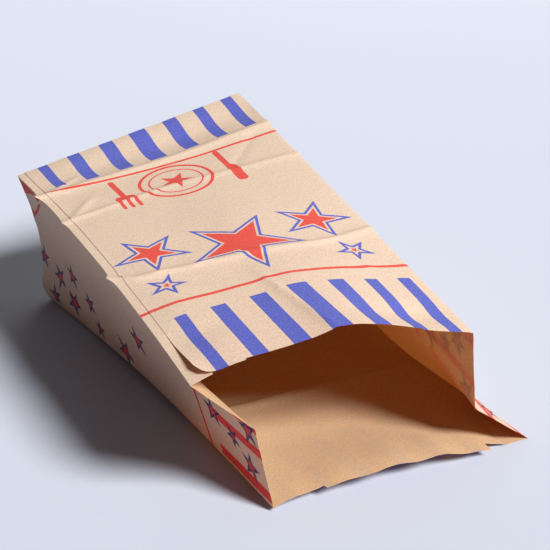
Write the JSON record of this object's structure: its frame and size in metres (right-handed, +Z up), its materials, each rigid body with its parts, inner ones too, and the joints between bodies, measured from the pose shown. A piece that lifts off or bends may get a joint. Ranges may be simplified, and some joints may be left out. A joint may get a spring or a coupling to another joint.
{
  "type": "takeaway paper bag",
  "caption": "Block-bottom paper takeaway bag with side gussets and a glued length seam, lying on its back panel with its mouth open.",
  "frame": {"origin": "under the middle of the bounding box, on the table that the back panel lies on", "axes": "+Z up out of the table, +Y along the bag from its mouth to its base, +X across the bag to the right seen from the mouth"},
  "size_m": [0.1964, 0.3223, 0.1197],
  "materials": {
    "kraft_paper": "matte uncoated kraft, printed in red and blue"
  },
  "bodies": {
    "root": {"paper_bag": "kraft_paper"}
  },
  "joints": []
}
